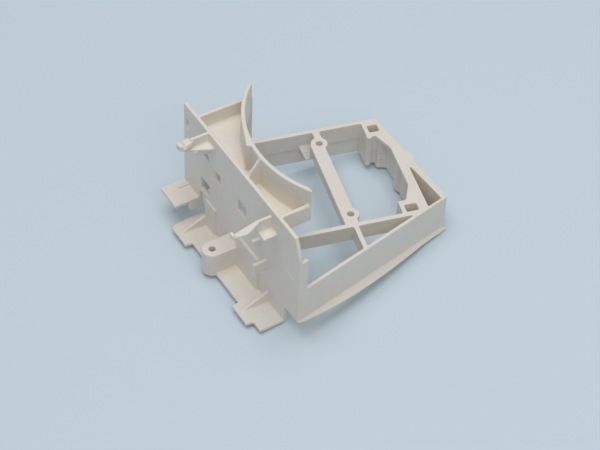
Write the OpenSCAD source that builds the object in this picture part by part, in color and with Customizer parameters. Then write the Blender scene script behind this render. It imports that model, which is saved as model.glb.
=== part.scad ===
// Fan guide: one injection-moulded plastic part.
// Origin: midway between the two fan screw bosses, on the face the fan lies against.
// +X runs along the fan frame away from the main wall, +Y runs from the lower boss
// to the upper boss, +Z points out of the fan face. All sizes in millimetres.

/* [Build] */
// which node to build
// smoothness of round features
$fn = 48;

/* [Fan frame] */
// thickness of the back beam
back_beam_t = 2.2; // [1.5:0.1:4]
// outer face of the back beam, measured from the origin
back_beam_y = 35.2; // [34:0.1:40]
// depth of the back beam below the fan face
back_beam_h = 19.6; // [17:0.1:20.5]
// left end of the back beam
back_beam_x = -33.5; // [-36:0.5:-28]
// thickness taken off the lower half of the back beam's inner face
beam_step = 0.7; // [0.2:0.1:1]
// height at which that lower half starts, below the fan face
beam_step_z = 10; // [5:0.5:15]
// thickness of the pad behind the back beam's left end
end_pad_t = 2.2; // [1:0.1:4]
// length of that pad
end_pad_l = 7.2; // [4:0.1:10]
// thickness of the front beam
front_beam_t = 2.5; // [1.5:0.1:4]
// inner face of the front beam, measured from the origin towards -Y
front_beam_y = 31.1; // [30.6:0.1:33]
// depth of the front beam and of the short strut
front_beam_h = 9.2; // [5:0.1:15]
// width of the short strut between the front beam and the diagonal wall
strut_w = 2.4; // [1.5:0.1:5]

/* [Fan screw bosses] */
// distance between the two fan screws
fan_pitch = 50; // [46:0.5:54]
// outer diameter of a fan screw boss
boss_d = 8.5; // [6:0.1:12]
// diameter of the fan screw holes
fan_hole_d = 3.4; // [2:0.1:4.5]
// width of the crossbar that carries the bosses
bar_w = 6.9; // [4:0.1:10]
// how far the crossbar reaches past the boss centres towards the wall
bar_left = 4.7; // [3:0.1:6]
// depth of the crossbar and of the bosses
bar_h = 6; // [3:0.1:12]
// width of the neck between the upper boss and the back beam
neck_w = 3.6; // [2:0.1:6]
// how far the neck sits off the boss centre line
neck_shift = 0.6; // [0:0.1:1.5]
// width of the sloping wedge on the back beam, at its top
wedge_w = 6.7; // [4:0.1:9]
// width of that wedge at its lower end
wedge_low_w = 2.8; // [1.5:0.1:4]
// right-hand side of that wedge, from the boss centre line
wedge_x = 1.5; // [0.5:0.1:3]
// how far that wedge leans to the left at its lower end
wedge_lean = 1.5; // [0:0.1:2.5]
// reach of that wedge at its lower end
wedge_t = 5.4; // [1:0.1:6]
// top of that wedge below the fan face
wedge_top = 7.4; // [6.5:0.1:9]
// height of that wedge
wedge_h = 5.6; // [4:0.1:10]

/* [Fan seat] */
// inner edge of the seat, the far side of the fan opening
seat_x = 33; // [31:0.1:34]
// half length of the straight part of that edge
seat_flat = 13.3; // [10:0.1:18]
// where the slanted edges meet the corner pads, along X
seat_pad_x = 28.5; // [26:0.1:31]
// where the slanted edges meet the corner pads, along Y
seat_pad_y = 23; // [20:0.1:24.5]
// thickness of the seat plate
seat_t = 2.5; // [1.5:0.1:5]
// near face of both corner pads, along X
pad_x = 24.2; // [22:0.1:25]
// wall left around the corner pockets
pocket_wall = 2.2; // [1.2:0.1:2.4]
// length of each corner pocket along X
pocket_l = 5.2; // [3:0.1:7]
// width of each corner pocket along Y
pocket_w = 4.6; // [3:0.1:5.5]
// where the upper pocket starts, along Y
upper_pocket_y = 26; // [25:0.1:28]
// where the lower pocket ends, along Y towards the centre
lower_pocket_y = 26.2; // [25:0.1:26.4]
// depth of each corner pocket
pocket_depth = 16; // [5:0.5:18]
// radius of the round guide post on the upper pad's corner
post_r = 1.6; // [1:0.1:2.2]
// radius of the upright round boss in the end wall
bulge_r = 4.6; // [4:0.1:4.7]
// place of that boss along X
bulge_x = 37.7; // [37.7:0.1:38.5]
// place of that boss along Y
bulge_y = 4.6; // [2:0.1:10]

/* [End wall] */
// thickness of the outer end wall
end_wall_t = 2; // [1.5:0.1:3]
// outer corner where the end wall leaves the back beam, along X
end_wall_x = 32.7; // [31:0.1:34]
// depth of the end wall and of the diagonal wall below the fan face
frame_h = 21.2; // [20.5:0.1:30]
// inner face of the skirt under the seat, along X
skirt_x = 34.7; // [33.5:0.1:35]
// where the skirt under the seat begins, along Y
skirt_y = 19.7; // [14:0.1:21]
// inner side of the three-cornered pocket, along X
tri_x = 37.6; // [37:0.1:39]
// far corner of the three-cornered pocket, along X
tri_far_x = 45.4; // [44:0.1:46]
// far corner of the three-cornered pocket, below the centre line
tri_far_y = 26.3; // [24:0.1:27]
// thickness of the skirt beside the three-cornered pocket
tri_wall = 1.8; // [1.2:0.1:2.5]

/* [Main wall] */
// length of the main wall
wall_l = 108; // [106:0.5:125]
// thickness of the main wall
wall_t = 2; // [1.5:0.1:4]
// top of the main wall above the fan face
wall_top = 32; // [30:0.5:38]
// angle between the main wall's normal and the fan frame
wall_turn = 14.3; // [13:0.1:16]
// outer corner shared by the main wall and the diagonal wall, along X
corner_x = -38.8; // [-41:0.1:-37]
// outer corner shared by the main wall and the diagonal wall, along Y
corner_y = -67.6; // [-69:0.1:-66]
// radius of the upright outer corner
corner_r = 1.5; // [0.8:0.1:1.8]
// length over which the top of the main wall slopes down at the corner
slope_l = 5.5; // [3:0.5:12]
// top of the corner post above the fan face
corner_top = 19.3; // [10:0.1:25]
// start of the fine ridge on the outer face, from the corner
ridge_s = 4.8; // [3:0.1:8]
// length of that ridge
ridge_l = 11.9; // [5:0.1:14]
// height of that ridge above the fan face
ridge_z = 4.8; // [0:0.1:10]
// how far that ridge stands out
ridge_t = 0.3; // [0.2:0.05:0.6]

/* [Diagonal wall] */
// angle of the diagonal wall to the fan frame
diag_turn = 25.2; // [24.6:0.1:25.8]
// length of the diagonal wall
diag_l = 95.3; // [94.5:0.1:98]
// thickness of the diagonal wall
diag_t = 1.8; // [1.2:0.1:3]
// length of the raised corner post along the diagonal wall
corner_l = 5.2; // [3:0.1:10]
// thickness of the ledge along the bottom of the diagonal wall
ledge_t = 1.4; // [0.8:0.1:3]
// greatest reach of that ledge
ledge_w = 4.4; // [3:0.1:8]
// reach of that ledge at its far end
ledge_end_w = 2; // [1:0.1:2.8]

/* [Foot flanges] */
// depth of the foot flanges' underside below the fan face
foot_z = 32.5; // [30:0.1:40]
// thickness of the foot flanges and of the side tab
foot_t = 2; // [1.2:0.1:3]
// where the foot starts, from the corner along the wall
foot_start = 12.4; // [8:0.1:16]
// where the foot ends, from the corner along the wall
foot_end = 93; // [91.5:0.1:95]
// reach of the foot flange from the wall
foot_w = 12.7; // [10:0.1:15]
// further reach of the two locating tongues
tongue_w = 3.7; // [2:0.1:6]
// length of each locating tongue along the wall
tongue_l = 13.3; // [8:0.1:14]
// start of the right tongue, from the corner along the wall
right_tongue_s = 19.1; // [17:0.1:21]
// start of the left tongue, from the corner along the wall
left_tongue_s = 77.8; // [75:0.1:78]
// height of the stiffening gussets above the foot flange
gusset_h = 6.5; // [3:0.1:9]
// thickness of the stiffening gussets
gusset_t = 1.8; // [1:0.1:3]
// how far each gusset runs out past the flange, along the tongue
gusset_reach = 2.2; // [1:0.1:3]
// place of the right gusset along the wall
right_gusset_s = 26.3; // [22:0.1:29]
// place of the left gusset along the wall
left_gusset_s = 84.8; // [80:0.1:85]
// start of the pad low on the wall, beside the right gusset
mid_pad_s = 35.3; // [32:0.1:40]
// length of that pad
mid_pad_l = 19.4; // [19:0.1:22]
// top of that pad below the fan face
mid_pad_z = 10; // [8:0.1:14]
// thickness of that pad
mid_pad_t = 1.5; // [0.8:0.1:3]
// start of the pad low on the wall, beside the left gusset
left_pad_s = 76; // [72:0.1:78]
// length of that pad
left_pad_l = 10; // [7:0.1:11]
// top of that pad below the fan face
left_pad_z = 13.5; // [12:0.1:17]
// thickness of that pad
left_pad_t = 1; // [0.6:0.1:2]

/* [Side tab] */
// reach of the side tab
tab_w = 13.5; // [8:0.1:20]
// underside of the side tab below the fan face
tab_z = 20.9; // [18:0.1:23]
// reach of the thick root under the tab
root_w = 5.4; // [3:0.1:8]
// thickness of that root
root_t = 2; // [1:0.1:3]
// height of that root below the tab
root_h = 5.1; // [3:0.1:8]
// distance of the low rib on the tab from the wall's free end
tab_rib_gap = 5.4; // [3:0.1:9]
// thickness of that rib
tab_rib_t = 1.4; // [0.8:0.1:2]
// height of that rib
tab_rib_h = 1.4; // [0.8:0.1:3]
// length of that rib
tab_rib_l = 6; // [4:0.1:10]
// width of the notch between the foot and the tab's root
notch_l = 6.3; // [4:0.1:6.4]
// top of that notch below the fan face
notch_z = 14; // [12:0.1:17]

/* [Screw bracket] */
// place of the bracket screw along the wall
bracket_s = 59.2; // [54:0.1:64]
// distance of the bracket screw from the wall's outer face
bracket_d = 12; // [9:0.1:16]
// radius of the bracket's round end
bracket_r = 5.1; // [4:0.1:8]
// top of the bracket below the fan face
bracket_z = 18.3; // [10:0.1:25]
// diameter of the bracket screw hole
bracket_hole_d = 3.4; // [2:0.1:4.5]

/* [Air duct] */
// upper face of the duct floor above the fan face
floor_z = 24.1; // [18:0.1:27]
// thickness of the duct floor and of its end walls
duct_t = 2; // [1.2:0.1:3]
// outer face of the duct's front wall, from the corner along the wall
duct_front = 19.5; // [18:0.1:21]
// outer face of the duct's back wall, from the corner along the wall
duct_back = 97.4; // [96.5:0.1:98]
// length of the duct's front wall, out to the baffle's tip
duct_front_l = 17.5; // [17.2:0.1:18.5]
// length of the duct's back wall
duct_back_l = 31; // [30.8:0.1:32]
// top of the curved baffle above the fan face
baffle_top = 41; // [36:0.5:48]
// thickness of the curved baffle
baffle_t = 2; // [1.2:0.1:3]
// radius of the curved baffle, to the middle of its thickness
baffle_r = 58.7; // [58:0.1:59.5]
// place of the baffle's centre of curvature along the wall
baffle_s = 51.3; // [50.5:0.1:52]
// distance of the baffle's centre of curvature from the wall
baffle_d = 67.5; // [67:0.1:68]
// place of the web between wall and baffle, along the wall
web_s = 50.3; // [44:0.1:58]
// thickness of that web
web_t = 1.6; // [1:0.1:2.5]
// start of the straight wedge beside the baffle, along the wall
fin_s = 59; // [57:0.1:62]
// end of that wedge, along the wall
fin_end = 72; // [68:0.1:76]
// greatest thickness of that wedge
fin_t = 2.2; // [1.4:0.1:3.2]

/* [Cable hooks] */
// place of the left hook's arm along the wall
left_hook_s = 85.3; // [83.5:0.1:88]
// reach of the left hook
left_hook_w = 16.4; // [14:0.1:18]
// gap between the left hook's plate and the top of the wall
left_hook_h = 5.2; // [4:0.1:8]
// width of the left hook's cap, along the wall
left_cap_l = 5.6; // [4:0.1:6.5]
// how far the cap lies below the top of the wall
left_cap_drop = 1.2; // [0.6:0.1:1.6]
// height of the left hook's nose
nose_h = 2.8; // [2.2:0.1:3.6]
// start of the left hook's cap, from the wall
left_cap_d = 7.5; // [6:0.1:9]
// length of the left hook's plate, along the wall
left_plate_l = 7.4; // [5:0.1:9]
// place of the right hook's arm along the wall
right_hook_s = 25.5; // [24.5:0.1:28]
// reach of the right hook
right_hook_w = 22.5; // [19:0.1:25]
// top of the right hook above the fan face
right_hook_z = 28.1; // [26:0.1:31]
// height of the right hook's upright arm
right_hook_h = 6.2; // [4:0.1:7.5]
// length of the right hook's upright arm
right_arm_w = 8.4; // [7.5:0.1:9]
// sideways bend of the right hook's flat arm
right_bend_l = 4; // [3:0.1:5]
// thickness of the hooks
hook_t = 1.6; // [1:0.1:2]
// height of the nub on the right hook's tip
nub_h = 1.2; // [0.6:0.1:2]
// top of the short shelf beside the right hook
shelf_z = 21.2; // [19:0.1:23]
// reach of the short shelf and of the lower keeper
keeper_w = 7.3; // [5:0.1:9]
// length of the short shelf along the wall
shelf_l = 6; // [4:0.1:7]
// place of the lower keeper along the wall
keeper_s = 28.2; // [27:0.1:31]
// top of the lower keeper below the fan face
keeper_z = 3.9; // [3:0.1:7]
// height of the lower keeper
keeper_h = 6.8; // [4:0.1:9]
// thickness of the lower keeper
keeper_t = 1.8; // [1.2:0.1:3]
// place of the small keeper along the wall
small_keeper_s = 34.6; // [33:0.1:38]
// reach of the small keeper
small_keeper_w = 4.2; // [3:0.1:6]
// top of the small keeper above the fan face
small_keeper_z = 4.8; // [2:0.1:8]
// height of the small keeper
small_keeper_h = 4.4; // [3:0.1:6]
// thickness of the small keeper
small_keeper_t = 2; // [1.2:0.1:3]

/* [Wall windows] */
// place of the square window, along the wall
square_window_s = 72.7; // [70:0.1:74]
// length and height of the square window
square_window_l = 5.5; // [4:0.1:7]
// sill of the square window above the fan face
square_window_z = 6.5; // [4:0.1:9]
// place of the lower window under the left hook, along the wall
low_window_s = 83; // [82:0.1:85]
// length of that window
low_window_l = 8.6; // [6:0.1:9.5]
// sill of that window below the fan face
low_window_z = 10.7; // [9:0.1:12]
// height of that window
low_window_h = 7.6; // [5:0.1:9]
// place of the upper window under the left hook, along the wall
high_window_s = 84; // [83:0.1:86]
// length of that window
high_window_l = 5.6; // [4:0.1:7]
// sill of that window above the fan face
high_window_z = 12.7; // [11:0.1:14]
// height of that window
high_window_h = 3.7; // [3:0.1:5.5]
// place of the window above the bracket, along the wall
wide_window_s = 48.4; // [46:0.1:52]
// length of that window
wide_window_l = 7.7; // [5:0.1:9]
// sill of that window above the fan face
wide_window_z = 5.2; // [3:0.1:8]
// height of that window
wide_window_h = 7.3; // [5:0.1:9]
// width of the oval hole near the wall's end
oval_w = 3.2; // [2:0.1:4]
// height of the oval hole
oval_h = 5.4; // [4.2:0.1:7]
// distance of the oval hole's middle from the wall's free end
oval_gap = 3.5; // [3:0.1:7]
// middle of the oval hole above the fan face
oval_z = 20.8; // [16:0.1:26]

/* [Hidden] */
lap = 0.6;
cut = 1;
plastic = [0.88, 0.85, 0.79];
far = 200;
frame_back = back_beam_y - back_beam_t;
front_outer_y = -(front_beam_y + front_beam_t);
bar_right = bar_w - bar_left;
foot_top = foot_t - foot_z;
wedge_left = wedge_x + wedge_w;
tab_rib_s = wall_l - tab_rib_gap;
oval_s = wall_l - oval_gap;
corner_turn = diag_turn - wall_turn;
corner_run = corner_r / tan((90 - corner_turn) / 2);
tri_near_y = tri_far_y + (tri_far_x - tri_x) * tan(diag_turn);
duct_inner_back = duct_back - duct_t;
cap_z = wall_top - left_cap_drop;
left_plate_z = wall_top - left_hook_h;
ledge_steps = 24;
sole = 0.25;
baffle_fn = 160;

// place children in the main wall's own frame:
// x = distance inward from the outer face, y = distance along the wall from the corner
module on_wall() {
    translate([corner_x, corner_y, 0])
        rotate([0, 0, wall_turn])
            children();
}

// place children in the diagonal wall's own frame:
// x = distance along the wall from the corner, y = distance inward
module on_diagonal() {
    translate([corner_x, corner_y, 0])
        rotate([0, 0, diag_turn])
            children();
}

// place children in the end wall's own frame: x = distance outward, y = 0 at the back beam
module on_end() {
    translate([end_wall_x, back_beam_y, 0])
        rotate([0, 0, wall_turn])
            children();
}

// a box given by its two opposite corners
module block(a, b) {
    translate(a)
        cube([b[0] - a[0], b[1] - a[1], b[2] - a[2]]);
}

// an outline drawn flat and raised from z0 to z1
module slab(z0, z1) {
    translate([0, 0, z0])
        linear_extrude(height = z1 - z0)
            children();
}

// an upright plate outline [y, z], from x0 to x1
module wall_plate(x0, x1, outline) {
    translate([x1, 0, 0])
        rotate([0, -90, 0])
            linear_extrude(height = x1 - x0)
                polygon([for (p = outline) [p[1], p[0]]]);
}

// an upright plate outline [x, z], from y0 to y1
module cross_plate(y0, y1, outline) {
    translate([0, y1, 0])
        rotate([90, 0, 0])
            linear_extrude(height = y1 - y0)
                polygon(outline);
}

// area on the inner side of a line pushed inward by t from the end wall's outer face
module inside_end(t) {
    translate([end_wall_x, back_beam_y])
        rotate(wall_turn)
            translate([-far - t, -far])
                square([far, 2 * far]);
}

// area on the inner side of a line pushed inward by t from the diagonal wall's outer face
module inside_diagonal(t) {
    translate([corner_x, corner_y])
        rotate(diag_turn)
            translate([-far / 2, t])
                square([2 * far, far]);
}

// area on the inner side of a line pushed inward by t from the main wall's outer face
module inside_wall(t) {
    translate([corner_x, corner_y])
        rotate(wall_turn)
            translate([t, -far / 2])
                square([far, 2 * far]);
}

module main_wall() {
    color(plastic)
    on_wall() {
        difference() {
            union() {
                // upper part, the full length of the wall
                slab(-tab_z, wall_top)
                    polygon([[0, 0], [wall_t, 0.7 * wall_t], [wall_t, wall_l], [0, wall_l]]);
                // lower part, down to the sole of the frame
                slab(2 * sole - frame_h, wall_top / 2)
                    polygon([[0, 0], [wall_t, 0.7 * wall_t], [wall_t, foot_end], [0, foot_end]]);
                // lowest part, down to the foot
                block([0, foot_start, -foot_z], [wall_t, foot_end, wall_top / 2]);
            }
            // slope at the corner
            wall_plate(-cut, wall_t + cut, [
                [-cut, corner_top - cut],
                [0, corner_top],
                [slope_l, wall_top],
                [slope_l, wall_top + cut],
                [-cut, wall_top + cut]
            ]);
        }
        // raised pads low on the outer face
        block([-left_pad_t, left_pad_s, -foot_z], [lap, left_pad_s + left_pad_l, -left_pad_z]);
        block([-mid_pad_t, mid_pad_s, -foot_z], [lap, mid_pad_s + mid_pad_l, -mid_pad_z]);
        // fine ridge on the outer face
        block([-ridge_t, ridge_s, ridge_z - 0.6], [lap, ridge_s + ridge_l, ridge_z]);
    }
}

// a rectangular opening through the main wall
module window(s, z, l, h) {
    block([-cut - mid_pad_t, s, z], [wall_t + cut, s + l, z + h]);
}

module wall_windows() {
    on_wall() {
        window(square_window_s, square_window_z, square_window_l, square_window_l);
        window(low_window_s, -low_window_z, low_window_l, low_window_h);
        window(high_window_s, high_window_z, high_window_l, high_window_h);
        window(wide_window_s, wide_window_z, wide_window_l, wide_window_h);
        // oval hole near the free end
        for (end = [-1, 1])
            translate([-cut, oval_s, oval_z + end * (oval_h - oval_w) / 2])
                rotate([0, 90, 0])
                    cylinder(d = oval_w, h = wall_t + 2 * cut);
        block([-cut, oval_s - oval_w / 2, oval_z - (oval_h - oval_w) / 2],
              [wall_t + cut, oval_s + oval_w / 2, oval_z + (oval_h - oval_w) / 2]);
        // notch between the foot and the tab's root
        block([0, foot_end - notch_l, foot_top], [wall_t + cut, foot_end, -notch_z]);
    }
}

// takes the sharp edge off the upright corner of the main wall and the diagonal wall
module corner_rounding() {
    on_wall()
        slab(-foot_z, wall_top + cut)
            difference() {
                polygon([
                    [-cut, -cut],
                    [-cut, corner_run],
                    [corner_r, corner_run],
                    [corner_run * cos(corner_turn), corner_run * sin(corner_turn)],
                    [corner_run * cos(corner_turn) + cut * sin(corner_turn),
                     corner_run * sin(corner_turn) - cut * cos(corner_turn)]
                ]);
                translate([corner_r, corner_run])
                    circle(r = corner_r);
            }
}

// outline [x, z] of a gusset standing on the foot flange
function gusset_outline() = [
    [lap, -foot_z + lap],
    [-foot_w - gusset_reach, -foot_z + lap],
    [-foot_w - gusset_reach, foot_top],
    [0, foot_top + gusset_h],
    [lap, foot_top + gusset_h]
];

module foot() {
    color(plastic)
    on_wall() {
        slab(-foot_z, foot_top)
            polygon([
                [lap, foot_start],
                [-foot_w, foot_start],
                [-foot_w, right_tongue_s - 0.4],
                [-foot_w - tongue_w, right_tongue_s],
                [-foot_w - tongue_w, right_tongue_s + tongue_l],
                [-foot_w, right_tongue_s + tongue_l + 0.4],
                [-foot_w, left_tongue_s - 0.4],
                [-foot_w - tongue_w, left_tongue_s],
                [-foot_w - tongue_w, left_tongue_s + tongue_l],
                [-foot_w, foot_end],
                [lap, foot_end]
            ]);
        for (s = [right_gusset_s, left_gusset_s])
            cross_plate(s, s + gusset_t, gusset_outline());
    }
}

module side_tab() {
    color(plastic)
    on_wall() {
        block([-tab_w, foot_end, -tab_z], [lap, wall_l, foot_t - tab_z]);
        // thick root under the tab, let into the wall's lower end
        block([-root_w, foot_end, -tab_z - root_h], [lap, foot_end + root_t, lap - tab_z]);
        block([0, foot_end - lap, -tab_z - root_h], [wall_t, foot_end + root_t, lap - tab_z]);
        // low rib on the tab
        block([-tab_rib_l, tab_rib_s, foot_t - tab_z - lap],
              [lap, tab_rib_s + tab_rib_t, foot_t - tab_z + tab_rib_h]);
    }
}

module bracket() {
    color(plastic)
    on_wall() {
        translate([-bracket_d, bracket_s, -foot_z])
            cylinder(r = bracket_r, h = foot_z - bracket_z);
        block([-bracket_d, bracket_s - bracket_r, -foot_z], [lap, bracket_s + bracket_r, -bracket_z]);
    }
}

module bracket_hole() {
    on_wall()
        translate([-bracket_d, bracket_s, -foot_z - cut])
            cylinder(d = bracket_hole_d, h = foot_z - bracket_z + 2 * cut);
}

// disc about the baffle's centre of curvature
module baffle_disc(r) {
    translate([baffle_d, baffle_s])
        circle(r = r, $fn = baffle_fn);
}

module duct_floor() {
    on_wall()
        slab(floor_z - duct_t, floor_z)
            difference() {
                translate([wall_t - lap, duct_front])
                    square([duct_back_l, duct_inner_back + lap - duct_front]);
                baffle_disc(baffle_r);
                // nothing past the tip of the front wall
                translate([duct_front_l, duct_front - cut])
                    square([far, baffle_s - duct_front]);
            }
}

module baffle() {
    on_wall()
        slab(floor_z - duct_t, baffle_top)
            difference() {
                baffle_disc(baffle_r + baffle_t / 2);
                baffle_disc(baffle_r - baffle_t / 2);
                // cut off at both ends, and everything on the far side of the circle
                translate([-far, -far])
                    square([2 * far, far + duct_front]);
                translate([-far, duct_inner_back + lap / 2])
                    square([2 * far, far]);
                translate([duct_front_l, -cut])
                    square([far, duct_front + 3 * baffle_t + cut]);
                translate([baffle_d, -far])
                    square([far, 2 * far]);
            }
}

module duct_ends() {
    on_wall() {
        // front wall of the duct
        block([wall_t - lap, duct_front, floor_z - duct_t], [duct_front_l, duct_front + duct_t, wall_top]);
        // back wall of the duct, carried down to the back beam
        block([wall_t - lap, duct_inner_back, sole - back_beam_h], [duct_back_l, duct_back, wall_top]);
    }
}

module duct_web() {
    on_wall()
        cross_plate(web_s - web_t / 2, web_s + web_t / 2, [
            [wall_t - lap, floor_z - lap],
            [baffle_d - baffle_r, floor_z - lap],
            [baffle_d - baffle_r, baffle_top - sole],
            [baffle_d - baffle_r - baffle_t / 2 + 0.3, baffle_top - sole],
            [wall_t - lap, wall_top - sole]
        ]);
}

// straight fin that leaves the baffle beside the web
module duct_fin() {
    on_wall()
        slab(floor_z - lap, baffle_top - sole)
            difference() {
                polygon([
                    [baffle_d - baffle_r - fin_t, fin_s + 1.2],
                    [baffle_d - baffle_r + lap, fin_s - 0.9],
                    [baffle_d - baffle_r + 4.6, fin_end - 2],
                    [baffle_d - baffle_r + 4.2, fin_end + 4]
                ]);
                baffle_disc(baffle_r);
            }
}

module duct() {
    color(plastic) {
        duct_floor();
        baffle();
        duct_ends();
        duct_web();
        duct_fin();
    }
}

// reach of the ledge at the fraction t of the diagonal wall's length
function ledge_swell(t) = ledge_w * (0.93 * sin(180 * pow(t, 0.75)) + 0.15 * t);
function ledge_reach(t) = t < 0.5 ? ledge_swell(t) : max(ledge_swell(t), ledge_end_w);

module diagonal_wall() {
    color(plastic)
    on_diagonal() {
        block([lap, 0, sole - frame_h], [diag_l, diag_t, 0]);
        // raised corner post
        block([lap, 0, -lap], [corner_l, diag_t, corner_top]);
    }
}

module end_wall() {
    color(plastic) {
        // the plate itself, cut off at the back beam and at the diagonal wall
        intersection() {
            on_end()
                block([-end_wall_t, -far / 2, 1.5 * sole - frame_h], [0, cut, 0]);
            on_diagonal()
                block([0, 0, -frame_h], [far, far, cut]);
            block([0, -far, -frame_h], [far, back_beam_y, cut]);
        }
        // solid corner around the three-cornered pocket
        slab(2 * sole - frame_h, 0)
            intersection() {
                translate([tri_x - tri_wall, -far])
                    square([far, far + bulge_y]);
                inside_end(end_wall_t / 2);
                inside_diagonal(diag_t / 2);
            }
    }
}

// ledge along the bottom of the diagonal wall
module ledge() {
    color(plastic)
    on_diagonal()
        slab(-frame_h, ledge_t - frame_h)
            polygon(concat(
                [[cut, lap]],
                [for (i = [0 : ledge_steps]) [(diag_l + 1) * i / ledge_steps, -ledge_reach(i / ledge_steps)]],
                [[diag_l, lap]]
            ));
}

module back_beam() {
    color(plastic) {
        block([back_beam_x, frame_back, -beam_step_z], [end_wall_x - cut, back_beam_y, 0]);
        block([back_beam_x, frame_back + beam_step, -back_beam_h], [end_wall_x - cut, back_beam_y, lap - beam_step_z]);
        // thicker left end that meets the duct's back wall
        slab(-back_beam_h, 0)
            polygon([
                [back_beam_x, frame_back],
                [back_beam_x + end_pad_l, frame_back],
                [back_beam_x + end_pad_l, back_beam_y],
                [back_beam_x + end_pad_l - 0.5, back_beam_y + end_pad_t - 0.7],
                [back_beam_x + end_pad_l / 2, back_beam_y + end_pad_t],
                [back_beam_x, back_beam_y + end_pad_t]
            ]);
    }
}

module front_beam() {
    color(plastic) {
        // the beam runs from the main wall to the diagonal wall
        slab(-front_beam_h, 0)
            intersection() {
                translate([-far, front_outer_y])
                    square([far + tri_x - cut, front_beam_t]);
                inside_wall(wall_t / 2);
                inside_diagonal(diag_t / 2);
            }
        // strut from the front beam to the diagonal wall
        slab(-front_beam_h, 0)
            intersection() {
                translate([-strut_w / 2, -far])
                    square([strut_w, far - front_beam_y - lap]);
                inside_diagonal(diag_t / 2);
            }
    }
}

// wedge on the back beam beside the crossbar: a slope seen from the side,
// tapered as seen from the front
module beam_wedge() {
    intersection() {
        wall_plate(-wedge_left - 2 * cut, cut - wedge_x, [
            [frame_back + lap, cut - wedge_top],
            [frame_back + wedge_t * cut / wedge_h, cut - wedge_top],
            [frame_back - wedge_t * (1 + cut / wedge_h), -cut - wedge_top - wedge_h],
            [frame_back + lap, -cut - wedge_top - wedge_h]
        ]);
        cross_plate(frame_back - 2 * wedge_t, frame_back + wedge_t, [
            [-wedge_left, -wedge_top],
            [-wedge_x, -wedge_top],
            [-wedge_x - wedge_lean, -wedge_top - wedge_h],
            [-wedge_x - wedge_lean - wedge_low_w, -wedge_top - wedge_h]
        ]);
    }
}

module crossbar() {
    color(plastic) {
        block([-bar_left, front_outer_y + lap, -bar_h], [bar_right, fan_pitch / 2, 0]);
        for (side = [-1, 1])
            translate([0, side * fan_pitch / 2, -bar_h])
                cylinder(d = boss_d, h = bar_h);
        // neck to the back beam
        block([neck_shift - neck_w / 2, fan_pitch / 2, -bar_h], [neck_shift + neck_w / 2, frame_back + lap, 0]);
        beam_wedge();
    }
}

module fan_holes() {
    for (side = [-1, 1])
        translate([0, side * fan_pitch / 2, -bar_h - cut])
            cylinder(d = fan_hole_d, h = bar_h + 2 * cut);
}

module seat_plate() {
    slab(-seat_t, 0)
        difference() {
            intersection() {
                translate([pad_x, front_outer_y])
                    square([30, frame_back + lap - front_outer_y]);
                inside_end(end_wall_t / 2);
                inside_diagonal(diag_t / 2);
            }
            polygon([
                [pad_x - cut, -seat_pad_y],
                [seat_pad_x, -seat_pad_y],
                [seat_x, -seat_flat],
                [seat_x, seat_flat],
                [seat_pad_x, seat_pad_y],
                [pad_x - cut, seat_pad_y]
            ]);
        }
}

module corner_pads() {
    // upper pad, its lower half set back like the back beam's
    block([pad_x, seat_pad_y, -beam_step_z], [end_wall_x, frame_back + lap, 0]);
    block([pad_x, seat_pad_y + beam_step, -back_beam_h], [end_wall_x, frame_back + lap, lap - beam_step_z]);
    // lower pad, trimmed by the diagonal wall
    slab(-back_beam_h, 0)
        intersection() {
            translate([pad_x, front_outer_y])
                square([tri_x - cut - pad_x, -seat_pad_y - front_outer_y]);
            inside_diagonal(diag_t / 2);
        }
    // round guide post on the upper pad's corner
    translate([pad_x + post_r - sole, seat_pad_y + lap, sole / 2 - back_beam_h])
        cylinder(r = post_r, h = back_beam_h - sole);
}

module seat_skirt() {
    // skirt under the seat, from the upper pad to the round boss
    slab(2.5 * sole - frame_h, -seat_t + lap)
        intersection() {
            polygon([
                [seat_pad_x + 0.9, seat_pad_y + 1],
                [seat_pad_x + 1.2, skirt_y + 1],
                [skirt_x - 0.8, skirt_y - 0.4],
                [skirt_x + 0.6, 2 * bulge_y],
                [skirt_x + 0.6, bulge_y],
                [skirt_x, -2],
                [tri_x - tri_wall, -8],
                [tri_x, 0],
                [tri_x + 10, bulge_y],
                [tri_x + 10, seat_pad_y + 1]
            ]);
            inside_end(end_wall_t / 2);
        }
    // upright round boss
    translate([bulge_x, bulge_y, 3 * sole - frame_h])
        cylinder(r = bulge_r, h = frame_h - 3 * sole);
}

module seat() {
    color(plastic) {
        seat_plate();
        corner_pads();
        seat_skirt();
    }
}

module seat_pockets() {
    // a square pocket in each corner pad
    block([pad_x + pocket_wall, upper_pocket_y, -pocket_depth],
          [pad_x + pocket_wall + pocket_l, upper_pocket_y + pocket_w, cut]);
    block([pad_x + pocket_wall, -lower_pocket_y - pocket_w, -pocket_depth],
          [pad_x + pocket_wall + pocket_l + 1, -lower_pocket_y, cut]);
    // three-cornered pocket between seat and end wall
    slab(-frame_h - cut, cut)
        polygon([[tri_x, 0], [tri_far_x, -tri_far_y], [tri_x, -tri_near_y]]);
}

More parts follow.
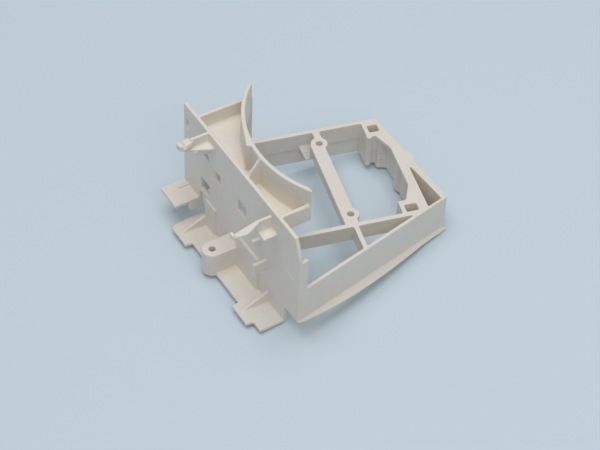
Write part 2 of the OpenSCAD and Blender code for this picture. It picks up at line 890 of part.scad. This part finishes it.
// rounded nose at the left hook's tip: a base, and on it a cap and a lip with a groove between them
module left_nose() {
    root = -left_cap_d;
    tip = -left_hook_w;
    far_side = left_hook_s + 2;
    near_side = far_side - left_cap_l;
    slab(cap_z - nose_h, cap_z - nose_h / 2 + 0.2)
        polygon([
            [root, left_hook_s - hook_t],
            [root, left_hook_s],
            [root - 2.5, far_side],
            [tip + 1.4, far_side - 0.2],
            [tip + 0.4, far_side - 0.8],
            [tip, far_side - 2],
            [tip + 0.2, far_side - 3.4],
            [tip + 1, far_side - 4.7],
            [tip + 2.4, near_side],
            [tip + 4.6, near_side + 0.3]
        ]);
    slab(cap_z - nose_h / 2 - 0.4, cap_z)
        polygon([
            [root, left_hook_s - hook_t],
            [root, left_hook_s],
            [root - 2.5, far_side],
            [tip + 3.4, far_side - 0.4],
            [tip + 3, near_side + 0.5],
            [tip + 4.6, near_side + 0.7]
        ]);
    slab(cap_z - nose_h / 2 - 0.4, cap_z + 0.3)
        polygon([
            [tip + 2.6, far_side - 0.6],
            [tip + 1.4, far_side - 0.2],
            [tip + 0.4, far_side - 0.8],
            [tip, far_side - 2],
            [tip + 0.2, far_side - 3.4],
            [tip + 1, far_side - 4.7],
            [tip + 2.2, near_side + 0.6]
        ]);
    // the bend that joins the nose to the plate under the arm
    block([tip + 3.6, near_side + 1.8, left_plate_z - lap],
          [tip + 5.9, left_hook_s - hook_t + 0.3, cap_z - nose_h + lap]);
}

module left_hook() {
    color(plastic)
    on_wall() {
        // upright arm
        block([-left_cap_d - 2, left_hook_s - hook_t, left_plate_z - hook_t], [lap, left_hook_s, wall_top]);
        left_nose();
        // plate under the arm
        slab(left_plate_z - hook_t, left_plate_z)
            polygon([
                [lap, left_hook_s],
                [-left_hook_w + 3.2, left_hook_s],
                [-left_hook_w + 3.2, left_hook_s - 0.7],
                [-left_hook_w + 4.4, left_hook_s - 1.4],
                [-left_hook_w + 6.6, left_hook_s - 2.9],
                [0, left_hook_s - left_plate_l],
                [lap, left_hook_s - left_plate_l]
            ]);
        // rib under the plate
        cross_plate(left_hook_s - 4.1, left_hook_s - 2.9, [
            [lap, left_plate_z - hook_t + 0.2],
            [-left_hook_w + 7.6, left_plate_z - hook_t + 0.2],
            [-left_hook_w + 7.6, left_plate_z - 2 * hook_t + 0.2],
            [lap, left_plate_z - hook_t - 4.6]
        ]);
    }
}

module right_hook() {
    color(plastic)
    on_wall() {
        // upright arm near the wall
        block([-right_arm_w, right_hook_s, right_hook_z - right_hook_h],
              [lap, right_hook_s + hook_t, right_hook_z]);
        // flat arm that reaches out
        slab(right_hook_z - hook_t, right_hook_z)
            polygon([
                [-right_arm_w + 1.2, right_hook_s + hook_t],
                [-right_arm_w + 1.2, right_hook_s - 0.6],
                [-right_hook_w + 7.7, right_hook_s - right_bend_l],
                [-right_hook_w, right_hook_s - right_bend_l + 0.9],
                [-right_hook_w, right_hook_s - right_bend_l + 2.9]
            ]);
        // nub on the tip
        block([-right_hook_w, right_hook_s - right_bend_l + 1.1, right_hook_z - hook_t],
              [-right_hook_w + hook_t, right_hook_s - right_bend_l + 3.9, right_hook_z + nub_h]);
        // short shelf beside the arm
        block([-keeper_w, right_hook_s + lap - shelf_l, shelf_z - hook_t], [lap, right_hook_s + lap, shelf_z]);
        block([-keeper_w, right_hook_s, shelf_z - hook_t], [lap, right_hook_s + hook_t, right_hook_z - lap]);
    }
}

module keepers() {
    color(plastic)
    on_wall() {
        block([-keeper_w, keeper_s, -keeper_z - keeper_h], [lap, keeper_s + keeper_t, -keeper_z]);
        block([-small_keeper_w, small_keeper_s, small_keeper_z - small_keeper_h],
              [lap, small_keeper_s + small_keeper_t, small_keeper_z]);
    }
}

module fan_guide() {
    difference() {
        union() {
            main_wall();
            foot();
            side_tab();
            bracket();
            duct();
            diagonal_wall();
            end_wall();
            back_beam();
            front_beam();
            crossbar();
            seat();
            left_hook();
            right_hook();
            keepers();
        }
        wall_windows();
        corner_rounding();
        bracket_hole();
        fan_holes();
        seat_pockets();
    }
    ledge();
}

fan_guide();
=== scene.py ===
"""Looks of the moulded fan guide: soft edges, plastic finish, floor, light and camera."""

import math

import bpy
from mathutils import Matrix, Vector


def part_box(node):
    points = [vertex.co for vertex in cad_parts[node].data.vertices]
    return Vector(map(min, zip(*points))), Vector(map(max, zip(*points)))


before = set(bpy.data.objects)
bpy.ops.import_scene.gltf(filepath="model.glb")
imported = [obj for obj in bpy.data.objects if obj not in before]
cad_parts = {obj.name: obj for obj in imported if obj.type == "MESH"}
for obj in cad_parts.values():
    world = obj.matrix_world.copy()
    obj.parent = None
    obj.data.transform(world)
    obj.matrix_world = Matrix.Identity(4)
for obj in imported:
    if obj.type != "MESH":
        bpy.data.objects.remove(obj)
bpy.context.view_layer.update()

bl_info = {
    "name": "Fan guide looks",
    "version": (1, 0, 0),
    "blender": (4, 5, 0),
    "location": "View3D > Sidebar > Fan guide",
    "description": "Finishes the moulded fan guide and sets it on a pale studio floor",
    "category": "Object",
}

GUIDE = "fan_guide"
MM = 0.001

# The moulded skin: the gap that is closed first, how far one edge pass moves a spot towards its
# neighbours, and how strongly the flat walls decide the shading.
CLOSED_GAP = 0.01 * MM
EASE_SHARE = 0.5
FLAT_WEIGHT = 60

# Sizes of the patterns in the plastic.
CLOUD_SIZE = 28 * MM
MOTTLE_SIZE = 1.8 * MM
WAVE_SIZE = 7 * MM
SPECK_SPACING = 9 * MM

# How far the finish looks around for walls or for edges, and in how many directions.
RECESS_REACH = 14 * MM
CORNER_SHADE_REACH = 1.6 * MM
HIGHLIGHT_REACH = 0.7 * MM
LOOKS_AROUND = 8

# Each band has the two limits of a measure, then the strength at either limit.
CLOUD_BAND = (0.38, 0.68, 0.0, 0.55)
# Strength of the painted bounce light in deep recesses.
BOUNCE_LIGHT_BAND = (0.3, 0.75, 0.9, 0.0)
MOTTLE_BAND = (0.45, 0.8, 0.0, 0.10)
# Strength of the painted shade in inner corners.
CORNER_SHADE_BAND = (0.15, 0.6, 0.16, 0.0)
# Strength of the painted highlight on convex edges.
HIGHLIGHT_BAND = (0.35, 0.8, 0.75, 0.0)
SPECK_BAND = (0.018, 0.03, 0.45, 0.0)
GLOSS_BAND = (0.3, 0.7, -0.05, 0.07)

# How much higher the slow waves are than the grain.
WAVE_RISE = 5.0

# The fine line, a painted shadow under the step: how far below the step it begins, is full and fades again,
# how far back it lies, and how squarely a face has to look to the front to show it.
LINE_BEGINS = 0.5 * MM
LINE_FULL = 0.2 * MM
LINE_FADES = 0.12 * MM
LINE_BEAM_BAND = (14 * MM, 16 * MM, 0.0, 0.5)
LINE_FACE_BAND = (-0.7, -0.5, 1.0, 0.0)

# The painted shade in the pit and the painted highlight on its rim fade between two distances, given in pit
# radii.
PIT_SPAN = (0.6, 1.1)
PIT_STRENGTH = 0.8
RIM_SPAN = (1.6, 2.1)
RIM_STRENGTH = 0.5

# Dark colour of the specks, also used as the painted shade in the pit.
SPECK_AND_PIT_SHADE_COLOUR = (0.16, 0.14, 0.12, 1.0)
WHITE = (1.0, 1.0, 1.0, 1.0)

# Where the floor touches the inner lower edge of the main wall, and how far below it the floor stays.
WALL_FOOT = (-39.9 * MM, -55.1 * MM)
FLOOR_GAP = 0.02 * MM

# Each lamp's place and the side of its square. Both lamps shine towards the origin.
KEY_PLACE = (-0.14, -0.02, 1.42)
KEY_SIDE = 1.1
FILL_PLACE = (0.05, -0.95, 1.00)
FILL_SIDE = 0.8

# Numbers of the colour sockets on a mix node.
MIX_FACTOR = 0
MIX_FIRST = 6
MIX_SECOND = 7
MIX_RESULT = 2

# Layout of the node sheets.
COLUMNS = 8
COLUMN_WIDTH = 220
ROW_HEIGHT = 260


class FanGuideMouldingSettings(bpy.types.PropertyGroup):
    """Sizes of the soft edges and colours of the plastic."""

    skin_cell: bpy.props.FloatProperty(
        name="Skin cell",
        description="Size of the small faces that the moulded skin is rebuilt from",
        default=0.3 * MM,
        min=0.2 * MM,
        max=0.6 * MM,
        unit="LENGTH",
        precision=5,
    )
    edge_passes: bpy.props.IntProperty(
        name="Edge passes",
        description="How often the skin is eased, which widens the soft edges and inner corners",
        default=9,
        min=0,
        max=12,
    )
    faces_kept: bpy.props.FloatProperty(
        name="Faces kept",
        description="Share of the small faces that stay after the flat walls are simplified",
        default=0.16,
        min=0.02,
        max=0.17,
        subtype="FACTOR",
    )
    plastic_colour: bpy.props.FloatVectorProperty(
        name="Plastic colour",
        description="Main colour of the plastic",
        default=(0.715, 0.680, 0.635),
        subtype="COLOR",
        min=0,
        max=1,
    )
    aged_colour: bpy.props.FloatVectorProperty(
        name="Aged colour",
        description="Colour of the slightly yellowed patches",
        default=(0.690, 0.640, 0.570),
        subtype="COLOR",
        min=0,
        max=1,
    )
    # Painted light: a warmer, lighter colour laid into deep recesses stands in for light bounced inside the
    # duct and the pockets.
    painted_bounce_colour: bpy.props.FloatVectorProperty(
        name="Painted bounce colour",
        description="Warmer, lighter colour painted deep inside the duct and the pockets as bounced light",
        default=(0.82, 0.765, 0.675),
        subtype="COLOR",
        min=0,
        max=1,
    )
    # Painted shade: this colour darkens inner corners and draws the shadow line under the step; it also
    # tints the fine mottle.
    shade_and_mottle_colour: bpy.props.FloatVectorProperty(
        name="Shade and mottle colour",
        description="Colour of the painted shade in inner corners and creases, and of the fine mottle",
        default=(0.40, 0.365, 0.315),
        subtype="COLOR",
        min=0,
        max=1,
    )
    # Painted highlight: this lighter colour on convex edges and on the pit's rim stands in for light caught
    # by rounded edges.
    edge_highlight_colour: bpy.props.FloatVectorProperty(
        name="Edge highlight colour",
        description="Colour of the painted highlight on the outer edges and on the pit's rim",
        default=(0.83, 0.80, 0.76),
        subtype="COLOR",
        min=0,
        max=1,
    )
    # The pit is painted: shade inside it and a highlight on its rim.
    pit_place: bpy.props.FloatVectorProperty(
        name="Pit place",
        description="Middle of the small dark pit on the inner face of the seat's skirt",
        default=(31.7 * MM, 20.0 * MM, -14.7 * MM),
        subtype="TRANSLATION",
        unit="LENGTH",
        precision=5,
    )
    pit_radius: bpy.props.FloatProperty(
        name="Pit radius",
        description="Radius of that pit",
        default=0.45 * MM,
        min=0,
        unit="LENGTH",
        precision=5,
    )
    # Places the painted shadow line under the back beam's step.
    step_height: bpy.props.FloatProperty(
        name="Step height",
        description="Height of the fine line along the back beam's step, from the fan face",
        default=-10.1 * MM,
        unit="LENGTH",
        precision=5,
    )
    gloss_roughness: bpy.props.FloatProperty(
        name="Roughness",
        description="Roughness of the moulded skin",
        default=0.38,
        min=0,
        max=1,
    )
    grain_size: bpy.props.FloatProperty(
        name="Grain size",
        description="Size of the fine grain in the moulded skin",
        default=0.32 * MM,
        unit="LENGTH",
        precision=5,
    )
    grain_height: bpy.props.FloatProperty(
        name="Grain height",
        description="Height of that grain",
        default=0.012 * MM,
        unit="LENGTH",
        precision=6,
    )


class FanGuideStageSettings(bpy.types.PropertyGroup):
    """Floor, lamps and camera."""

    floor_colour: bpy.props.FloatVectorProperty(
        name="Floor colour",
        description="Colour of the plain floor",
        default=(0.56, 0.65, 0.72),
        subtype="COLOR",
        min=0,
        max=1,
    )
    floor_size: bpy.props.FloatProperty(
        name="Floor size",
        description="Side of the square floor",
        default=6.0,
        unit="LENGTH",
    )
    floor_tilt: bpy.props.FloatProperty(
        name="Floor tilt",
        description="Slope of the floor under the part, which stands on its foot and on its far corner",
        default=math.radians(6.9),
        subtype="ANGLE",
    )
    wall_turn: bpy.props.FloatProperty(
        name="Wall turn",
        description="Angle between the main wall's normal and the fan frame",
        default=math.radians(14.3),
        subtype="ANGLE",
    )
    sky_strength: bpy.props.FloatProperty(
        name="Sky strength",
        description="Strength of the even light from all round",
        default=0.42,
        min=0,
    )
    key_power: bpy.props.FloatProperty(
        name="Key lamp power",
        description="Power of the large soft lamp above the part",
        default=11.2,
        min=0,
        unit="POWER",
    )
    fill_power: bpy.props.FloatProperty(
        name="Fill lamp power",
        description="Power of the weak lamp high at the front",
        default=2.6,
        min=0,
        unit="POWER",
    )
    camera_azimuth: bpy.props.FloatProperty(
        name="Camera azimuth",
        description="Direction that the camera looks along, from +Y towards +X",
        default=math.radians(19.1),
        subtype="ANGLE",
    )
    camera_elevation: bpy.props.FloatProperty(
        name="Camera elevation",
        description="How far the camera looks down",
        default=math.radians(46.2),
        subtype="ANGLE",
    )
    camera_roll: bpy.props.FloatProperty(
        name="Camera roll",
        description="Turn of the camera about its own line of sight",
        default=math.radians(2.8),
        subtype="ANGLE",
    )
    camera_distance: bpy.props.FloatProperty(
        name="Camera distance",
        description="Distance from the camera to the point it looks at",
        default=0.9456,
        unit="LENGTH",
    )
    camera_target: bpy.props.FloatVectorProperty(
        name="Camera target",
        description="Point on the fan face that lies in the middle of the picture",
        default=(-0.02553, -0.02589, 0.0),
        subtype="TRANSLATION",
        unit="LENGTH",
    )
    camera_lens: bpy.props.FloatProperty(
        name="Lens",
        description="Focal length in millimetres on a 36 mm sensor",
        default=120.0,
    )


class NodeSheet:
    """Lays out a material's nodes in rows and links them."""

    def __init__(self, name):
        self.material = bpy.data.materials.new(name)
        self.material.use_nodes = True
        self.tree = self.material.node_tree
        self.tree.nodes.clear()
        self.count = 0

    def add(self, kind, label, inputs=None, **values):
        """Adds a node. Each input is either linked from another node or set to a plain value."""
        node = self.tree.nodes.new(kind)
        node.label = label
        row, column = divmod(self.count, COLUMNS)
        node.location = (column * COLUMN_WIDTH, -row * ROW_HEIGHT)
        self.count += 1
        for key, value in values.items():
            setattr(node, key, value)
        for key, value in (inputs or {}).items():
            if isinstance(value, bpy.types.NodeSocket):
                self.tree.links.new(value, node.inputs[key])
            else:
                node.inputs[key].default_value = value
        return node

    def noise(self, label, place, size, detail=2.0, roughness=0.5):
        """Adds a cloudy pattern with patches of that size."""
        node = self.add(
            "ShaderNodeTexNoise",
            label,
            {"Vector": place, "Scale": 1.0 / size, "Detail": detail, "Roughness": roughness},
        )
        return node.outputs["Fac"]

    def around(self, label, reach, inside=False):
        """Measures how open a spot is to the outside, or from inside how far it is from an edge."""
        node = self.add(
            "ShaderNodeAmbientOcclusion",
            label,
            {"Distance": reach},
            samples=LOOKS_AROUND,
            inside=inside,
        )
        return node.outputs["AO"]

    def band(self, label, value, low, high, at_low=0.0, at_high=1.0):
        """Turns a measure into a strength, which stays level beyond the two limits."""
        node = self.add(
            "ShaderNodeMapRange",
            label,
            {"Value": value, "From Min": low, "From Max": high, "To Min": at_low, "To Max": at_high},
        )
        return node.outputs["Result"]

    def work_out(self, label, operation, *values, kind="ShaderNodeMath", **options):
        """Adds one step of arithmetic."""
        node = self.add(kind, label, dict(enumerate(values)), operation=operation, **options)
        return node.outputs["Value"]

    def blend(self, label, factor, first, second):
        """Mixes two colours."""
        inputs = {MIX_FACTOR: factor, MIX_FIRST: first, MIX_SECOND: second}
        node = self.add("ShaderNodeMix", label, inputs, data_type="RGBA")
        return node.outputs[MIX_RESULT]


def rgba(colour):
    return (colour[0], colour[1], colour[2], 1.0)


def painted_step_shadow(sheet, place, colour, settings):
    """Painted shadow: a dark line under the shallow step on the inner faces of the back beam and its corner
    pad.
    """
    step = settings.step_height
    axes = sheet.add("ShaderNodeSeparateXYZ", "place by axis", {"Vector": place})
    above = sheet.band("line top", axes.outputs["Z"], step - LINE_FADES, step)
    below = sheet.band("line foot", axes.outputs["Z"], step - LINE_BEGINS, step - LINE_FULL)
    behind = sheet.band("back beam only", axes.outputs["Y"], *LINE_BEAM_BAND)
    face = sheet.add("ShaderNodeTexCoord", "face")
    facing = sheet.add("ShaderNodeSeparateXYZ", "way the face looks", {"Vector": face.outputs["Normal"]})
    inner = sheet.band("inner faces only", facing.outputs["Y"], *LINE_FACE_BAND)
    line = sheet.work_out("line band", "SUBTRACT", below, above)
    line = sheet.work_out("line on the beam", "MULTIPLY", line, behind, use_clamp=True)
    line = sheet.work_out("line on inner faces", "MULTIPLY", line, inner, use_clamp=True)
    return sheet.blend("painted step shadow", line, colour, rgba(settings.shade_and_mottle_colour))


def skirt_pit(sheet, place, colour, settings):
    """Painted shade of a small pit on the skirt, with a painted highlight on its pale rim."""
    distance = sheet.work_out(
        "distance to the pit",
        "DISTANCE",
        place,
        tuple(settings.pit_place),
        kind="ShaderNodeVectorMath",
    )
    radius = settings.pit_radius
    rim = sheet.band("pit rim", distance, RIM_SPAN[0] * radius, RIM_SPAN[1] * radius, RIM_STRENGTH, 0.0)
    colour = sheet.blend("rimmed", rim, colour, rgba(settings.edge_highlight_colour))
    pit = sheet.band("pit", distance, PIT_SPAN[0] * radius, PIT_SPAN[1] * radius, PIT_STRENGTH, 0.0)
    return sheet.blend("pitted", pit, colour, SPECK_AND_PIT_SHADE_COLOUR)


def plastic_colouring(sheet, place, clouds, settings):
    """Base colour: aged patches, painted bounce light inside, mottle, painted shade in inner corners,
    painted highlight on edges, the painted shadow line, the painted pit and its rim, and specks.
    """
    plastic = rgba(settings.plastic_colour)
    mottle_and_shade = rgba(settings.shade_and_mottle_colour)
    aged = sheet.band("cloud strength", clouds, *CLOUD_BAND)
    colour = sheet.blend("aged patches", aged, plastic, rgba(settings.aged_colour))
    # Painted bounce light: deep recesses turn warmer and lighter, as light bounced between the walls would
    # make them.
    depth = sheet.around("deep inside", RECESS_REACH)
    inner = sheet.band("painted bounce light", depth, *BOUNCE_LIGHT_BAND)
    colour = sheet.blend("bounce lit", inner, colour, rgba(settings.painted_bounce_colour))
    mottle = sheet.noise("fine mottle", place, MOTTLE_SIZE)
    mottling = sheet.band("mottle strength", mottle, *MOTTLE_BAND)
    colour = sheet.blend("mottled", mottling, colour, mottle_and_shade)
    # Painted shade: inner corners and creases are darkened where little light reaches.
    corner = sheet.around("inner corners", CORNER_SHADE_REACH)
    painted_corner_shade = sheet.band("painted shade near corners", corner, *CORNER_SHADE_BAND)
    colour = sheet.blend("corners shaded", painted_corner_shade, colour, mottle_and_shade)
    # Painted highlight: convex edges turn lighter, as if catching the lamps.
    edge = sheet.around("outer edges", HIGHLIGHT_REACH, inside=True)
    painted_highlight = sheet.band("painted edge highlight", edge, *HIGHLIGHT_BAND)
    colour = sheet.blend("painted_highlight", painted_highlight, colour, rgba(settings.edge_highlight_colour))
    colour = painted_step_shadow(sheet, place, colour, settings)
    colour = skirt_pit(sheet, place, colour, settings)
    speck = sheet.add("ShaderNodeTexVoronoi", "specks", {"Vector": place, "Scale": 1.0 / SPECK_SPACING})
    specks = sheet.band("speck size", speck.outputs["Distance"], *SPECK_BAND)
    return sheet.blend("specked", specks, colour, SPECK_AND_PIT_SHADE_COLOUR)


def skin_relief(sheet, place, settings):
    """Fine grain and slow waves in the moulded skin."""
    grain = sheet.noise("skin grain", place, settings.grain_size, detail=3.0, roughness=0.6)
    waves = sheet.noise("slow waves", place, WAVE_SIZE)
    relief = sheet.work_out("grain and waves", "MULTIPLY_ADD", waves, WAVE_RISE, grain)
    bump = sheet.add(
        "ShaderNodeBump",
        "skin relief",
        {"Height": relief, "Distance": settings.grain_height, "Strength": 0.8},
    )
    return bump.outputs["Normal"]


def moulded_plastic(settings):
    """Off-white plastic with clouds that change both its colour and its gloss."""
    sheet = NodeSheet("moulded_plastic")
    place = sheet.add("ShaderNodeTexCoord", "place").outputs["Object"]
    clouds = sheet.noise("colour clouds", place, CLOUD_SIZE, detail=3.0)
    colour = plastic_colouring(sheet, place, clouds, settings)
    normal = skin_relief(sheet, place, settings)
    unevenness = sheet.band("uneven gloss", clouds, *GLOSS_BAND)
    roughness = sheet.work_out("roughness", "ADD", unevenness, settings.gloss_roughness)
    plastic = sheet.add(
        "ShaderNodeBsdfPrincipled",
        "plastic",
        {
            "Base Color": colour,
            "Roughness": roughness,
            "Normal": normal,
            "IOR": 1.5,
            "Specular IOR Level": 0.42,
            "Subsurface Weight": 0.12,
            "Subsurface Radius": (1.0, 0.8, 0.6),
            "Subsurface Scale": 0.8 * MM,
        },
    )
    sheet.add("ShaderNodeOutputMaterial", "surface", {"Surface": plastic.outputs["BSDF"]})
    return sheet.material


def floor_paint(settings):
    """Plain pale floor without a pattern."""
    sheet = NodeSheet("pale_floor")
    paint = sheet.add(
        "ShaderNodeBsdfPrincipled",
        "matt floor",
        {"Base Color": rgba(settings.floor_colour), "Roughness": 0.9, "Specular IOR Level": 0.1},
    )
    sheet.add("ShaderNodeOutputMaterial", "surface", {"Surface": paint.outputs["BSDF"]})
    return sheet.material


class FANGUIDE_OT_soft_edges(bpy.types.Operator):
    """Round the edges and the inner corners of the moulding as its mould does"""

    bl_idname = "fanguide.soft_edges"
    bl_label = "Soften moulded edges"

    def execute(self, context):
        settings = context.scene.fan_guide_moulding
        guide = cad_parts[GUIDE]
        closed = guide.modifiers.new("closed_skin", "WELD")
        closed.merge_threshold = CLOSED_GAP
        even = guide.modifiers.new("even_skin", "REMESH")
        even.mode = "VOXEL"
        even.voxel_size = settings.skin_cell
        even.use_smooth_shade = True
        soft = guide.modifiers.new("soft_edges", "SMOOTH")
        soft.factor = EASE_SHARE
        soft.iterations = settings.edge_passes
        light = guide.modifiers.new("fewer_faces", "DECIMATE")
        light.ratio = settings.faces_kept
        shading = guide.modifiers.new("flat_walls", "WEIGHTED_NORMAL")
        shading.weight = FLAT_WEIGHT
        return {"FINISHED"}


class FANGUIDE_OT_plastic(bpy.types.Operator):
    """Give the moulding its off-white plastic finish"""

    bl_idname = "fanguide.plastic"
    bl_label = "Plastic finish"

    def execute(self, context):
        finish = moulded_plastic(context.scene.fan_guide_moulding)
        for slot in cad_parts[GUIDE].material_slots:
            slot.material = finish
        return {"FINISHED"}


class FANGUIDE_OT_stage(bpy.types.Operator):
    """Set up the floor, the lamps and the camera"""

    bl_idname = "fanguide.stage"
    bl_label = "Studio stage"

    def execute(self, context):
        settings = context.scene.fan_guide_stage
        self.lay_floor(context, settings)
        self.light_scene(context, settings)
        self.place_camera(context, settings)
        context.scene.view_settings.view_transform = "Standard"
        return {"FINISHED"}

    def lay_floor(self, context, settings):
        """The floor touches the inner lower edge of the main wall and the far corner of the frame."""
        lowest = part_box(GUIDE)[0].z
        half = settings.floor_size / 2
        mesh = bpy.data.meshes.new("floor")
        corners = [(-half, -half, 0), (half, -half, 0), (half, half, 0), (-half, half, 0)]
        mesh.from_pydata(corners, [], [(0, 1, 2, 3)])
        mesh.materials.append(floor_paint(settings))
        floor = bpy.data.objects.new("floor", mesh)
        context.collection.objects.link(floor)
        turn = Matrix.Rotation(settings.wall_turn, 4, "Z")
        tilt = Matrix.Rotation(-settings.floor_tilt, 4, "Y")
        wall_foot = Vector((*WALL_FOOT, lowest - FLOOR_GAP))
        floor.matrix_world = Matrix.Translation(wall_foot) @ turn @ tilt

    def light_scene(self, context, settings):
        """An even sky, a large soft lamp above and a weak one at the front."""
        world = bpy.data.worlds.new("even_light")
        world.use_nodes = True
        sky = world.node_tree.nodes["Background"]
        sky.inputs["Color"].default_value = WHITE
        sky.inputs["Strength"].default_value = settings.sky_strength
        context.scene.world = world
        self.hang_lamp(context, "key_lamp", KEY_PLACE, KEY_SIDE, settings.key_power)
        self.hang_lamp(context, "fill_lamp", FILL_PLACE, FILL_SIDE, settings.fill_power)

    def hang_lamp(self, context, name, place, side, power):
        light = bpy.data.lights.new(name, "AREA")
        light.shape = "SQUARE"
        light.size = side
        light.energy = power
        lamp = bpy.data.objects.new(name, light)
        lamp.location = place
        lamp.rotation_euler = (-Vector(place)).to_track_quat("-Z", "Y").to_euler()
        context.collection.objects.link(lamp)

    def place_camera(self, context, settings):
        """The camera that the photo was measured with."""
        azimuth = settings.camera_azimuth
        elevation = settings.camera_elevation
        ahead = Vector((
            math.cos(elevation) * math.sin(azimuth),
            math.cos(elevation) * math.cos(azimuth),
            -math.sin(elevation),
        ))
        level_right = Vector((math.cos(azimuth), -math.sin(azimuth), 0.0))
        level_up = level_right.cross(ahead)
        roll = settings.camera_roll
        right = level_right * math.cos(roll) + level_up * math.sin(roll)
        up = right.cross(ahead)
        data = bpy.data.cameras.new("photo_camera")
        data.sensor_width = 36.0
        data.lens = settings.camera_lens
        data.clip_start = 0.01
        data.clip_end = 50.0
        camera = bpy.data.objects.new("photo_camera", data)
        axes = Matrix((right, up, -ahead)).transposed().to_4x4()
        place = Vector(settings.camera_target) - ahead * settings.camera_distance
        camera.matrix_world = Matrix.Translation(place) @ axes
        context.collection.objects.link(camera)
        context.scene.camera = camera


class FANGUIDE_PT_looks(bpy.types.Panel):
    """Lists the sizes, the colours and the steps"""

    bl_idname = "FANGUIDE_PT_looks"
    bl_label = "Fan guide"
    bl_space_type = "VIEW_3D"
    bl_region_type = "UI"
    bl_category = "Fan guide"

    def draw(self, context):
        for settings in (context.scene.fan_guide_moulding, context.scene.fan_guide_stage):
            box = self.layout.box()
            for name in settings.__annotations__:
                box.prop(settings, name)
        for step in STEPS:
            self.layout.operator(step.bl_idname)


STEPS = (FANGUIDE_OT_soft_edges, FANGUIDE_OT_plastic, FANGUIDE_OT_stage)
CLASSES = (FanGuideMouldingSettings, FanGuideStageSettings, *STEPS, FANGUIDE_PT_looks)


def register():
    for item in CLASSES:
        bpy.utils.register_class(item)
    bpy.types.Scene.fan_guide_moulding = bpy.props.PointerProperty(type=FanGuideMouldingSettings)
    bpy.types.Scene.fan_guide_stage = bpy.props.PointerProperty(type=FanGuideStageSettings)


def unregister():
    del bpy.types.Scene.fan_guide_stage
    del bpy.types.Scene.fan_guide_moulding
    for item in reversed(CLASSES):
        bpy.utils.unregister_class(item)


def main():
    register()
    bpy.ops.fanguide.soft_edges()
    bpy.ops.fanguide.plastic()
    bpy.ops.fanguide.stage()


if __name__ == "__main__":
    main()
